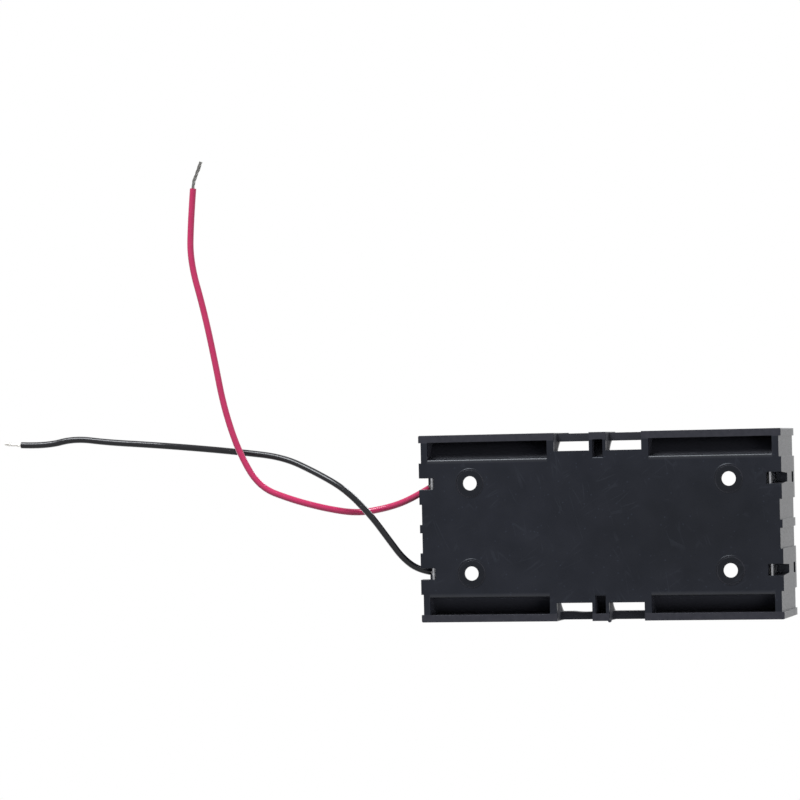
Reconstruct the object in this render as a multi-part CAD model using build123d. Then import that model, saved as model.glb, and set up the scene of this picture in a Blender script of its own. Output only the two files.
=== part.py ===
from build123d import *
import math
import os

# Holder for two cylindrical cells, with two free leads.
# X runs along the cells and the leads leave at the -X end. Z points out of the open side.
# The flat base lies in z = 0, and the origin is at its middle. Lengths are in millimetres.

# Cells and bays
cell_diameter = 18.4
cell_length = 65.0
cell_play = 0.1
bay_gap = 0.5
bay_wall = 0.97

# Outside of the tray
tray_height = 20.0
corner_round = 0.3
rim_round = 0.25
rim_draft_height = 3.0
rim_draft_depth = 0.15

# Floor and the ridge between the bays
floor_thickness = 1.8
ridge_height = 7.5
ridge_round = 0.4

# End walls, with the slots that hold the contact plates
end_wall = 2.25
end_relief = 0.5
centre_rib_width = 1.74
band_width = 8.76
post_width = 1.56
lip_thickness = 1.15
window_width = 10.6
window_round = 1.5
sill_height = 5.0

# Notches for the leads, and the latch slots near the rim
notch_width = 2.45
notch_top_width = 1.8
notch_height = 8.3
notch_setback = 0.45
lead_opening_width = 5.0
latch_slot_width = 2.2
latch_slot_height = 2.5
latch_slot_bottom = 14.8

# Blind pockets beside the cradles
side_wall = 1.52
pocket_width = 3.6
pocket_end_gap = 1.9
cradle_shell = 1.0
pocket_round = 0.45
pocket_top = 7.0

# Middle of each long side: bar, windows, centre block and finger scoop
middle_length = 18.6
middle_web = 1.5
bar_inset = 0.17
bar_thickness = 1.7
bar_bottom = 4.0
bar_top = 11.0
window_gap = 1.95
block_length = 3.6
block_wall = 0.7
scoop_flank = 3.2
scoop_round = 1.5
flash_nub_radius = 0.32
flash_nub_height = 0.9
flash_sag = 0.2
flash_sag_length = 5.0

# Screw holes, countersunk from inside, with a fine ring round each below
hole_end_distance = 11.0
hole_diameter = 3.0
countersink_diameter = 5.8
ring_diameter = 6.0
ring_groove = 0.25
ring_depth = 0.12

# Contact plates
plate_thickness = 0.4
plate_bottom = 1.0
plate_top = 17.8
plate_shoulder = 4.2
plate_overlap = 0.9
plate_foot_wall = 0.9
plate_round = 0.8
plate_clearance = 0.05
plate_side_clearance = 0.1
strap_height = 6.0
button_radius = 3.2
button_height = 1.6
barb_clearance = 0.35
barb_side_clearance = 0.25
barb_reach = 0.8

# Springs and the hooks that hold their base coils
wire_diameter = 0.8
spring_base_radius = 4.2
spring_tip_radius = 2.5
spring_length = 7.5
spring_working_length = 5.0
coil_gap = 0.05
rising_turns = 3.0
tip_turns = 0.5
points_per_turn = 12
hook_turns_shares = (0.1, 0.43, 0.77)
hook_width = 1.2
hook_thickness = 0.3
hook_gap = 0.05
hook_overlap = 0.45

# Leads
lead_diameter = 1.4
strand_diameter = 0.8
solder_radius = 0.85
solder_neck_radius = 0.55
solder_hollow_share = 0.25
solder_hollow_height_share = 0.625
arc_share = 0.45
tip_straight = 1.6

# Cuts run past the faces they open by this much
overrun = 1.0

# Worked out from the sizes above
bay_radius = (cell_diameter + cell_play) / 2
bay_y = bay_radius + bay_gap / 2
bay_axis_z = floor_thickness + bay_radius
half_width = bay_y + bay_radius + bay_wall
plate_face = (cell_length + button_height + spring_working_length) / 2
plate_back = plate_face + plate_thickness
slot_inner = plate_face - plate_clearance
slot_outer = plate_back + plate_clearance
slot_bottom = plate_bottom - plate_clearance
half_length = slot_outer + end_wall
lip_front = slot_inner - lip_thickness
hole_x = half_length - hole_end_distance
pocket_outer = half_width - side_wall
pocket_inner = pocket_outer - pocket_width
plate_width = window_width + 2 * plate_overlap
plate_foot_width = 2 * (pocket_inner - bay_y - plate_foot_wall - plate_side_clearance)
barb_width = latch_slot_width - 2 * barb_side_clearance
barb_bottom = latch_slot_bottom + barb_clearance
barb_height = latch_slot_height - 2 * barb_clearance
middle_half = middle_length / 2
block_half = block_length / 2
bar_outer = half_width - bar_inset
bar_inner = bar_outer - bar_thickness
window_inner = bar_inner - window_gap

# Route points of each lead, from its solder joint to its stripped end, chosen along its photograph.
# They are counted from the foot of the lead's own notch, at the outer face of the end wall.
# The wire is limp: it leaves its notch level, sinks to the surface that the tray stands on, and
# one lead rises over the other at each of the two crossings.
red_route = [
    (1.3, 0.85, 4.2),
    (-1.0, 2.15, 4.2),
    (-5.0, 4.0, 4.6),
    (-9.5, 5.2, 5.1),
    (-15.0, 6.0, 5.1),
    (-21.1, 4.9, 2.6),
    (-28.3, 2.8, 0.7),
    (-35.5, 0.0, 0.7),
    (-39.9, -7.7, 0.7),
    (-43.0, -17.3, 0.7),
    (-44.8, -27.3, 0.7),
    (-47.0, -38.1, 0.7),
    (-49.9, -48.9, 0.7),
    (-49.6, -57.1, 0.7),
    (-48.9, -64.5, 0.7),
]
black_route = [
    (1.3, -0.3, 4.2),
    (-1.4, -0.75, 4.1),
    (-4.5, -3.2, 2.9),
    (-7.1, -7.3, 1.2),
    (-10.7, -12.4, 0.7),
    (-16.2, -18.1, 0.7),
    (-23.3, -21.9, 2.6),
    (-31.2, -25.3, 5.1),
    (-41.0, -26.6, 5.1),
    (-50.5, -27.7, 2.6),
    (-60.1, -28.6, 0.7),
    (-69.5, -29.3, 0.7),
    (-77.0, -30.3, 0.7),
    (-83.5, -28.8, 0.7),
    (-89.2, -29.1, 0.7),
]
red_tip_bend = [(-47.7, -68.4, 0.7), (-47.0, -70.2, 0.7)]
black_tip_bend = [(-93.0, -29.5, 0.7)]


def span(x0, x1, y0, y1, z0, z1):
    """A block between two values on each axis, given in any order."""
    middle = ((x0 + x1) / 2, (y0 + y1) / 2, (z0 + z1) / 2)
    return Pos(*middle) * Box(abs(x1 - x0), abs(y1 - y0), abs(z1 - z0))


def along_x(radius, x0, x1, y, z):
    """A cylinder whose axis runs along X."""
    return Pos((x0 + x1) / 2, y, z) * Rot(0, 90, 0) * Cylinder(radius, abs(x1 - x0))


def bays():
    """The space that the two cells take, open at the top, with the low ridge left between them."""
    top = tray_height + overrun
    space = span(-lip_front, lip_front, -bay_y - bay_radius, bay_y + bay_radius, bay_axis_z, top)
    space += span(-lip_front, lip_front, -bay_y, bay_y, ridge_height, top)
    for side in (-1, 1):
        space += along_x(bay_radius, -lip_front, lip_front, side * bay_y, bay_axis_z)
    return space


def contact_seats():
    """Windows in the lips at the ends, and behind them the slots that the plates slide into."""
    cuts = []
    top = tray_height + overrun
    wide = plate_width / 2 + plate_side_clearance
    narrow = plate_foot_width / 2 + plate_side_clearance
    shoulder = plate_shoulder - plate_clearance
    for end in (-1, 1):
        near, far = end * slot_inner, end * slot_outer
        for side in (-1, 1):
            y = side * bay_y
            outline = Pos(0, (sill_height + top) / 2) * Rectangle(window_width, top - sill_height)
            outline = fillet(outline.vertices().group_by(Axis.Y)[0], window_round)
            placed = Plane(origin=(near, y, 0), x_dir=(0, 1, 0), z_dir=(1, 0, 0)) * outline
            reach = lip_thickness + overrun
            cuts.append(extrude(placed, amount=-end * reach))
            cuts.append(span(near, far, y - wide, y + wide, shoulder, top))
            cuts.append(span(near, far, y - narrow, y + narrow, slot_bottom, shoulder))
    cuts.append(span(slot_inner, slot_outer, -bay_y, bay_y, slot_bottom, top))
    return cuts


def notches():
    """Tapered notches that open each end below, and the small latch slots near the rim.

    At the leads' end each notch is wider above the floor, where its lead lies against one side.
    """
    cuts = []
    inner = slot_inner - notch_setback
    for end in (-1, 1):
        for side in (-1, 1):
            y = side * bay_y
            outline = make_face(
                Polyline(
                    (-notch_width / 2, -overrun),
                    (-notch_width / 2, 0),
                    (-notch_top_width / 2, notch_height),
                    (notch_top_width / 2, notch_height),
                    (notch_width / 2, 0),
                    (notch_width / 2, -overrun),
                    close=True,
                )
            )
            placed = Plane(origin=(end * inner, y, 0), x_dir=(0, 1, 0), z_dir=(1, 0, 0)) * outline
            cuts.append(extrude(placed, amount=end * (half_length + overrun - inner)))
            half = latch_slot_width / 2
            top = latch_slot_bottom + latch_slot_height
            outside = half_length + overrun
            cuts.append(span(end * slot_inner, end * outside, y - half, y + half, latch_slot_bottom, top))
    for side in (-1, 1):
        low, high = side * bay_y - lead_opening_width / 2, side * bay_y + lead_opening_width / 2
        cuts.append(span(-slot_outer, -outside, low, high, floor_thickness, notch_height))
    return cuts


def end_reliefs():
    """Shallow steps between the bands, posts and rib of each end face, and its draft at the rim."""
    cuts = []
    low = -overrun
    high = tray_height + overrun
    steps = (
        (centre_rib_width / 2, bay_y - band_width / 2),
        (bay_y + band_width / 2, half_width - post_width),
    )
    for end in (-1, 1):
        face = end * (half_length - end_relief)
        for side in (-1, 1):
            for inner, outer in steps:
                cuts.append(span(face, end * (half_length + overrun), side * inner, side * outer, low, high))
        start = tray_height - rim_draft_height
        wedge = make_face(
            Polyline(
                (end * half_length, start),
                (end * (half_length - rim_draft_depth), tray_height),
                (end * (half_length + overrun), tray_height),
                (end * (half_length + overrun), start),
                close=True,
            )
        )
        cuts.append(extrude(Plane.XZ * wedge, amount=half_width + overrun, both=True))
    return cuts


def below_cradle(x0, x1, side):
    """A blind pocket from below, beside a cradle, whose roof follows the cradle's outside."""
    pocket = span(x0, x1, side * pocket_inner, side * pocket_outer, -overrun, pocket_top)
    return pocket - along_x(bay_radius + cradle_shell, x0, x1, side * bay_y, bay_axis_z)


def side_openings():
    """Long pockets, centre pockets, windows, undercut bars and the finger scoops."""
    cuts = []
    past = half_width + overrun
    long_from = middle_half + middle_web
    long_to = half_length - pocket_end_gap
    for side in (-1, 1):
        cuts.append(below_cradle(-block_half + block_wall, block_half - block_wall, side))
        for end in (-1, 1):
            x0, x1 = end * block_half, end * middle_half
            cuts.append(below_cradle(end * long_from, end * long_to, side))
            cuts.append(span(x0, x1, side * window_inner, side * bar_inner, -overrun, bar_top))
            cuts.append(span(x0, x1, side * window_inner, side * past, -overrun, bar_bottom))
            cuts.append(span(x0, x1, side * bar_outer, side * past, bar_bottom, bar_top))
    top = tray_height + overrun
    rise = (top - bar_top) / (tray_height - bar_top)
    outline = make_face(
        Polyline(
            (-middle_half, bar_top),
            (middle_half, bar_top),
            (middle_half + scoop_flank * rise, top),
            (-middle_half - scoop_flank * rise, top),
            close=True,
        )
    )
    outline = fillet(outline.vertices().group_by(Axis.Y)[0], scoop_round)
    cuts.append(extrude(Plane.XZ * outline, amount=past, both=True))
    return cuts


def screw_holes():
    """Four holes through the floor, with the countersink inside and a fine ring groove outside."""
    cuts = []
    bore = hole_diameter / 2
    head = countersink_diameter / 2
    outer = ring_diameter / 2
    ring = Cylinder(outer, 2 * ring_depth) - Cylinder(outer - ring_groove, 2 * ring_depth)
    for x in (-hole_x, hole_x):
        for y in (-bay_y, bay_y):
            cuts.append(Pos(x, y, floor_thickness / 2) * Cylinder(bore, floor_thickness + 2 * overrun))
            depth = head - bore
            cuts.append(Pos(x, y, floor_thickness - depth / 2) * Cone(bore, head, depth))
            cuts.append(Pos(x, y, floor_thickness + overrun / 2) * Cylinder(head, overrun))
            cuts.append(Pos(x, y, 0) * ring)
    return cuts


def flash():
    """The small nub and the sagging edge that the mould left on one long side."""
    nub = Pos(block_half, half_width, 0) * Cylinder(
        flash_nub_radius, flash_nub_height, align=(Align.CENTER, Align.CENTER, Align.MIN)
    )
    sag_radius = (flash_sag_length**2 / 4 + flash_sag**2) / (2 * flash_sag)
    sag_x = -block_half - flash_sag_length / 2
    scallop = Pos(sag_x, bar_inner + flash_sag - sag_radius, (bar_bottom + bar_top) / 2)
    scallop *= Cylinder(sag_radius, bar_top - bar_bottom)
    limit = span(-middle_half, -block_half, bar_inner - flash_sag, bar_outer, bar_bottom, bar_top)
    return nub, scallop & limit


def tray():
    """The moulded housing, in one piece."""
    body = Pos(0, 0, tray_height / 2) * Box(2 * half_length, 2 * half_width, tray_height)
    body = fillet(body.edges().filter_by(Axis.Z), corner_round)
    body = fillet(body.faces().sort_by(Axis.Z)[-1].edges(), rim_round)
    body -= bays()
    ridge_edges = [
        edge
        for edge in body.edges().filter_by(Axis.X)
        if abs(edge.center().Y) < bay_y and abs(edge.center().Z - ridge_height) < rim_round
    ]
    body = fillet(ridge_edges, ridge_round)
    for cut in contact_seats() + notches() + end_reliefs() + side_openings() + screw_holes():
        body -= cut
    pocket_edges = [
        edge
        for edge in body.edges().filter_by(Axis.X)
        if abs(edge.center().Z) < ring_depth and abs(abs(edge.center().Y) - pocket_inner) < ring_depth
    ]
    body = fillet(pocket_edges, pocket_round)
    nub, sag = flash()
    return body - sag + nub


def sheet(end, side):
    """A contact plate's flat blank, with a narrower foot, standing in its slot."""
    body = Pos(0, (plate_shoulder + plate_top) / 2) * Rectangle(plate_width, plate_top - plate_shoulder)
    foot_top = plate_shoulder + plate_round
    foot = Pos(0, (plate_bottom + foot_top) / 2) * Rectangle(plate_foot_width, foot_top - plate_bottom)
    outline = body + foot
    corners = [
        corner
        for corner in outline.vertices()
        if abs(corner.X) > plate_foot_width / 2 + plate_clearance or corner.Y < plate_bottom + plate_clearance
    ]
    outline = fillet(corners, plate_round)
    seat = Plane(origin=(end * plate_back, side * bay_y, 0), x_dir=(0, -end, 0), z_dir=(-end, 0, 0))
    return extrude(seat * outline, amount=plate_thickness)


def barb(end, side):
    """A lanced tongue that springs into the latch slot of the end wall."""
    back = end * plate_back
    tip = end * (plate_back + barb_reach)
    outline = make_face(
        Polyline(
            (back - end * plate_thickness / 2, barb_bottom),
            (back, barb_bottom),
            (tip, barb_bottom + barb_height),
            (tip - end * plate_thickness, barb_bottom + barb_height),
            (back - end * plate_thickness / 2, barb_bottom + plate_thickness),
            close=True,
        )
    )
    return Pos(0, side * bay_y, 0) * extrude(Plane.XZ * outline, amount=barb_width / 2, both=True)


def add_button(plate, end, side):
    """Press the round button that meets a cell's positive end out of a plate."""
    radius = (button_radius**2 + button_height**2) / (2 * button_height)
    centre_x = end * (plate_face - button_height + radius)
    centre = Pos(centre_x, side * bay_y, bay_axis_z)
    beyond = end * (plate_face - button_height - overrun)
    half = button_radius + overrun
    room = (side * bay_y - half, side * bay_y + half, bay_axis_z - half, bay_axis_z + half)
    facing = centre * Rot(0, 0, 90 - 90 * end)
    dome = (facing * Sphere(radius)) & span(end * plate_face, beyond, *room)
    hollow = (facing * Sphere(radius - plate_thickness)) & span(end * (plate_back + overrun), beyond, *room)
    return plate + dome - hollow


def spring_seat(end, side):
    """The plane of a plate's face, centred on a cell's axis, with Z into the bay."""
    return Plane(origin=(end * plate_face, side * bay_y, bay_axis_z), x_dir=(0, 1, 0), z_dir=(-end, 0, 0))


def coil_radius(turn):
    """The radius of a spring's wire after a number of turns: a flat spiral first, then a cone."""
    base_drop = wire_diameter + coil_gap
    if turn <= 1:
        return spring_base_radius - base_drop * turn
    share = min((turn - 1) / rising_turns, 1)
    start = spring_base_radius - base_drop
    return start + (spring_tip_radius - start) * share


def add_hooks(plate, end, side):
    """Bend small hooks out of a plate, over the base coil of its spring."""
    lip_bottom = wire_diameter + hook_gap
    height = lip_bottom + hook_thickness
    lip_length = hook_thickness + hook_overlap
    for turn_share in hook_turns_shares:
        coil_outer = coil_radius(turn_share) + wire_diameter / 2 + hook_gap
        post = Pos(coil_outer + hook_thickness / 2, 0, height / 2)
        post *= Box(hook_thickness, hook_width, height)
        lip = Pos(coil_outer + hook_thickness - lip_length / 2, 0, lip_bottom + hook_thickness / 2)
        lip *= Box(lip_length, hook_width, hook_thickness)
        plate += spring_seat(end, side) * Rot(0, 0, 360 * turn_share) * (post + lip)
    return plate


def lead_contact(side):
    """The plate behind a lead, with the button that its cell rests on."""
    return add_button(sheet(-1, side) + barb(-1, side), -1, side)


def series_link():
    """The plate that joins both bays at the far end and carries the two springs."""
    strap_bottom = plate_bottom + plate_round
    plate = sheet(1, -1) + sheet(1, 1) + barb(1, -1) + barb(1, 1)
    plate += span(plate_face, plate_back, -bay_y, bay_y, strap_bottom, strap_bottom + strap_height)
    return add_hooks(add_hooks(plate, 1, -1), 1, 1)


def spring(side):
    """A conical spring, wound from a flat base coil on the series link to a flat tip coil."""
    travel = spring_length - wire_diameter
    points = []
    for step in range(int((1 + rising_turns + tip_turns) * points_per_turn) + 1):
        turn = step / points_per_turn
        share = min(max((turn - 1) / rising_turns, 0), 1)
        radius = coil_radius(turn)
        angle = 2 * math.pi * turn
        height = wire_diameter / 2 + travel * share
        points.append((radius * math.cos(angle), radius * math.sin(angle), height))
    path = Spline(points)
    section = Plane(origin=path @ 0, z_dir=path % 0) * Circle(wire_diameter / 2)
    return spring_seat(1, side) * sweep(section, path=path, is_frenet=True)


def from_notch(route, side):
    """A lead's route points, moved to the notch that the lead leaves."""
    return [(x - half_length, y + side * bay_y, z) for x, y, z in route]


def rounded_path(route):
    """Straight runs joined by tangent arcs, each arc as large as its two runs allow."""
    corners = [Vector(*point) for point in route]
    runs = [after - before for before, after in zip(corners, corners[1:])]
    radii = []
    for before, after in zip(runs, runs[1:]):
        turn = math.radians(before.get_angle(after))
        radii.append(arc_share * min(before.length, after.length) / math.tan(turn / 2))
    return FilletPolyline(*corners, radius=radii), radii


def tube(name, route, diameter):
    """A round wire along a route."""
    path, radii = rounded_path(route)
    section = Plane(origin=path @ 0, z_dir=path % 0) * Circle(diameter / 2)
    solid = sweep(section, path=path)
    expected = math.pi * (diameter / 2) ** 2 * path.length
    print(name, "radii", [round(radius, 1) for radius in radii])
    print(name, "length", round(path.length, 1))
    print(name, "volume", round(solid.volume, 2), "expected", round(expected, 2))
    return solid


def stripped_end(name, route, bend):
    """The bare strands that carry on from a lead's last run."""
    last = Vector(*route[-1])
    direction = (last - Vector(*route[-2])).normalized()
    straight = last + direction * tip_straight
    points = [tuple(last), tuple(straight)] + bend
    return tube(name, points, strand_diameter)


def solder_joint(route):
    """A cone of solder with hollow flanks, between a plate's back and the end of its lead."""
    start = Vector(*route[0])
    direction = (start - Vector(*route[1])).normalized()
    length = (-plate_back - start.X) / direction.X
    hollow_radius = solder_neck_radius + (solder_radius - solder_neck_radius) * solder_hollow_share
    outline = make_face(
        Line((0, 0), (solder_neck_radius, 0))
        + ThreePointArc(
            (solder_neck_radius, 0),
            (hollow_radius, length * solder_hollow_height_share),
            (solder_radius, length),
        )
        + Line((solder_radius, length), (solder_radius, length + overrun))
        + Line((solder_radius, length + overrun), (0, length + overrun))
        + Line((0, length + overrun), (0, 0))
    )
    cone = revolve(Plane.XZ * outline, Axis.Z)
    placed = Plane(origin=start, z_dir=direction) * cone
    half = 2 * (solder_radius + overrun)
    return placed - span(-plate_back, 0, start.Y - half, start.Y + half, start.Z - half, start.Z + half)


def pieces():
    """Every piece of the holder, by node name."""
    made = {
        "tray": tray(),
        "positive_contact": lead_contact(-1),
        "negative_contact": lead_contact(1),
        "series_link": series_link(),
        "red_bay_spring": spring(-1),
        "black_bay_spring": spring(1),
    }
    leads = {"red": (red_route, red_tip_bend, -1), "black": (black_route, black_tip_bend, 1)}
    for colour, (route, bend, side) in leads.items():
        placed = from_notch(route, side)
        made[colour + "_lead"] = tube(colour + "_lead", placed, lead_diameter)
        made[colour + "_lead_tip"] = stripped_end(colour + "_lead_tip", placed, from_notch(bend, side))
        made[colour + "_solder_joint"] = solder_joint(placed)
    return made


os.makedirs("parts", exist_ok=True)
for node, piece in pieces().items():
    export_step(piece, os.path.join("parts", node + ".step"))
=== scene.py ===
import logging
import math
from dataclasses import dataclass, field
from enum import Enum

import bmesh
import bpy
from mathutils import Matrix, Vector


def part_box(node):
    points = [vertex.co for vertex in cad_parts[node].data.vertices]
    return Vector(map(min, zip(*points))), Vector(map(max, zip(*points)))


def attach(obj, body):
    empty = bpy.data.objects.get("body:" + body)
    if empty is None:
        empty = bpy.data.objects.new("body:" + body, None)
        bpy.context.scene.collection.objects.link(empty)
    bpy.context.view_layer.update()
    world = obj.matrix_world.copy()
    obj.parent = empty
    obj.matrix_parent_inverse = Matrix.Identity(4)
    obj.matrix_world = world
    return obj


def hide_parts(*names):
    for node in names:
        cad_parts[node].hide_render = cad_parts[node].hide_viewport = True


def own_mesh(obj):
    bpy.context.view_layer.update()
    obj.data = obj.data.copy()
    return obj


# A holder for two cylindrical cells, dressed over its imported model. All lengths are in metres.
# X runs along the cells, the leads leave at the -X end, and the flat base lies in z = 0.

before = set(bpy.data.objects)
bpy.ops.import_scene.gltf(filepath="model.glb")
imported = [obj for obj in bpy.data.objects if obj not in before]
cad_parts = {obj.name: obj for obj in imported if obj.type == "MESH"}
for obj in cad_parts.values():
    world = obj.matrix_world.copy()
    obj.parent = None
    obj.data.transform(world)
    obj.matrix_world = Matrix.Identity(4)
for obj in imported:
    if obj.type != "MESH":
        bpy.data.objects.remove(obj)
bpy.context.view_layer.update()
log = logging.getLogger("cell_holder")

MM = 0.001
ROOT_BODY = "holder"

Colour = tuple[float, float, float]
Point = tuple[float, float, float]
Socket = bpy.types.NodeSocket
Material = bpy.types.Material
Object = bpy.types.Object
BMesh = bmesh.types.BMesh
WHITE: Colour = (1.0, 1.0, 1.0)


class Side(Enum):
    """The two bays, named by the lead that leaves each."""

    RED = -1
    BLACK = 1

    @property
    def word(self) -> str:
        """The side's name as the CAD nodes spell it."""
        return self.name.lower()


class Pole(Enum):
    """The two moulded signs on a bay's floor."""

    PLUS = "plus"
    MINUS = "minus"


class StrandEnd(Enum):
    """How a stripped end's strands lie at their cut."""

    NEAT = 0.3
    FRAYED = 1.0


def node_middle(node: str) -> Vector:
    """The point half way between the corners of a CAD node's box."""
    low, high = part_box(node)
    return (low + high) / 2


@dataclass(frozen=True)
class TrayPlaces:
    """Places on the tray that other pieces line up with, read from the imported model."""

    end_x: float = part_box("tray")[0].x
    bay_y: float = node_middle("negative_contact").y
    floor: float = 1.8 * MM
    bay_radius: float = 9.25 * MM
    plate_face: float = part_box("red_bay_spring")[1].x

    @property
    def bay_axis_z(self) -> float:
        """Height of a cell's axis."""
        return self.floor + self.bay_radius


PLACES = TrayPlaces()


class NodeTree:
    """A thin helper that adds nodes to a tree and joins their sockets."""

    def __init__(self, tree: bpy.types.NodeTree) -> None:
        """Keep the tree that the calls work on.

        Args:
            tree: A shader or geometry node tree.
        """
        self.tree = tree

    def add(self, kind: str, inputs: dict | None = None, **settings) -> bpy.types.Node:
        """Add a node.

        Args:
            kind: Blender's name of the node type.
            inputs: Socket name or number to a value, or to an output socket to join.
            settings: Properties set on the node before its inputs.

        Returns:
            The new node.
        """
        node = self.tree.nodes.new(kind)
        for name, value in settings.items():
            setattr(node, name, value)
        for key, value in (inputs or {}).items():
            self.put(node, key, value)
        return node

    def put(self, node: bpy.types.Node, key: str | int, value: object) -> None:
        """Give a node's input a value, or join an output socket to it.

        Args:
            node: The node.
            key: Name or number of its input.
            value: A plain value or an output socket.
        """
        if isinstance(value, Socket):
            self.tree.links.new(value, node.inputs[key])
        else:
            node.inputs[key].default_value = value

    def maths(self, operation: str, first: object, second: object = 0.0) -> Socket:
        """Add a Math node for one or two values or sockets, and give its output."""
        return self.add("ShaderNodeMath", {0: first, 1: second}, operation=operation).outputs[0]

    def product(self, first: object, *others: object) -> Socket:
        """Multiply values with each other.

        Args:
            first: First value or socket.
            others: The values or sockets after it.

        Returns:
            Their product.
        """
        for other in others:
            first = self.maths("MULTIPLY", first, other)
        return first

    def polar(self, radius: object, angle: object) -> list[Socket]:
        """The cosine leg and the sine leg of a radius at an angle."""
        return [self.product(radius, self.maths(leg, angle)) for leg in ("COSINE", "SINE")]

    def vectors(self, operation: str, inputs: dict) -> Socket:
        """Add a Vector Math node, and give its number for a length or distance, else its vector."""
        node = self.add("ShaderNodeVectorMath", inputs, operation=operation)
        return node.outputs["Value" if operation in ("LENGTH", "DISTANCE") else "Vector"]

    def noise(self, vector: object, scale: object, detail: float) -> Socket:
        """Add a noise texture of a given fineness, with detail finer layers, and give its value."""
        inputs = {"Vector": vector, "Scale": scale, "Detail": detail}
        return self.add("ShaderNodeTexNoise", inputs).outputs[0]

    def mix_colour(self, share: object, first: object, second: object) -> Socket:
        """Mix two colours or sockets, where share is how much of the second shows."""
        inputs = {0: share, 6: first, 7: second}
        return self.add("ShaderNodeMix", inputs, data_type="RGBA").outputs[2]

    def span(
        self, value: object, low: float, high: float, to_low: object = 0.0, to_high: object = 1.0
    ) -> Socket:
        """Map a value from low..high to to_low..to_high, held at both ends."""
        ends = {"From Min": low, "From Max": high, "To Min": to_low, "To Max": to_high}
        return self.add("ShaderNodeMapRange", {"Value": value, **ends}).outputs[0]


def rgba(colour: Colour) -> tuple[float, float, float, float]:
    """A colour with full alpha."""
    return (*colour, 1.0)


class ShaderGroup(NodeTree):
    """A shader node group that reads a place and some named values, and gives named values."""

    def __init__(self, name: str, inputs: dict[str, float], outputs: tuple[str, ...]) -> None:
        """Start the group.

        Args:
            name: The group's name.
            inputs: Name of each value that goes in, besides Vector, to its default.
            outputs: Names of the values that come out.
        """
        super().__init__(bpy.data.node_groups.new(name, "ShaderNodeTree"))
        face = self.tree.interface
        face.new_socket("Vector", in_out="INPUT", socket_type="NodeSocketVector")
        for word, default in inputs.items():
            socket = face.new_socket(word, in_out="INPUT", socket_type="NodeSocketFloat")
            socket.default_value = default
        for word in outputs:
            face.new_socket(word, in_out="OUTPUT", socket_type="NodeSocketFloat")
        self.given = {s.name: s for s in self.add("NodeGroupInput").outputs if s.name}
        self.sink = self.add("NodeGroupOutput")

    def end(self, **results: Socket) -> bpy.types.NodeTree:
        """Join the group's outputs.

        Args:
            results: Output name to the value that it gives.

        Returns:
            The finished group.
        """
        for name, value in results.items():
            self.put(self.sink, name, value)
        return self.tree


def grain_group() -> bpy.types.NodeTree:
    """Build the fine grain and slow mottle that moulded and sheet surfaces share.

    Returns:
        A group with the outputs Mottle, Fine and Height.
    """
    inputs = {"Grain Scale": 2500.0, "Mottle Scale": 120.0}
    group = ShaderGroup("surface_grain", inputs, ("Mottle", "Fine", "Height"))
    place = group.given["Vector"]
    slow = group.noise(place, group.given["Mottle Scale"], 4.0)
    fine = group.noise(place, group.given["Grain Scale"], 3.0)
    mottle_share = 0.6
    both = group.maths("MULTIPLY_ADD", slow, mottle_share)
    group.put(both.node, 2, fine)
    mottle, speckle = group.span(slow, 0.32, 0.68), group.span(fine, 0.3, 0.7)
    return group.end(Mottle=mottle, Fine=speckle, Height=both)


def scratch_group() -> bpy.types.NodeTree:
    """Build long fine scratches that lie in one direction, broken into short runs.

    Returns:
        A group with the output Mask.
    """
    inputs = {"Angle": 0.4, "Spacing": 260.0, "Thinness": 0.03}
    group = ShaderGroup("fine_scratches", inputs, ("Mask",))
    given = group.given
    bend, stretch = 2.2 * MM, (0.18, 1.0, 1.0)
    turn = {"Vector": given["Vector"], "Angle": given["Angle"]}
    turned = group.add("ShaderNodeVectorRotate", turn, rotation_type="Z_AXIS").outputs[0]
    bent = group.noise(turned, 60.0, 1.0).node.outputs[1]
    wobble = group.vectors("SCALE", {0: bent, "Scale": bend})
    moved = group.vectors("ADD", {0: turned, 1: wobble})
    drawn_out = group.vectors("MULTIPLY", {0: moved, 1: stretch})
    cells = {"Vector": drawn_out, "Scale": given["Spacing"]}
    to_edge = group.add("ShaderNodeTexVoronoi", cells, feature="DISTANCE_TO_EDGE").outputs[0]
    line = group.maths("LESS_THAN", to_edge, given["Thinness"])
    runs = group.span(group.noise(moved, 170.0, 2.0), 0.56, 0.66)
    return group.end(Mask=group.product(line, runs))


def speck_group() -> bpy.types.NodeTree:
    """Build sparse dust specks of uneven size.

    Returns:
        A group with the output Mask.
    """
    inputs = {"Scale": 700.0, "Size": 0.16, "Amount": 0.1}
    group = ShaderGroup("dust_specks", inputs, ("Mask",))
    given = group.given
    cells = {"Vector": given["Vector"], "Scale": given["Scale"]}
    dots = group.add("ShaderNodeTexVoronoi", cells).outputs
    chance = group.add("ShaderNodeSeparateColor", {0: dots["Color"]}).outputs[0]
    small = group.maths("LESS_THAN", dots["Distance"], given["Size"])
    few = group.maths("LESS_THAN", chance, given["Amount"])
    return group.end(Mask=group.product(small, few))


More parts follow.
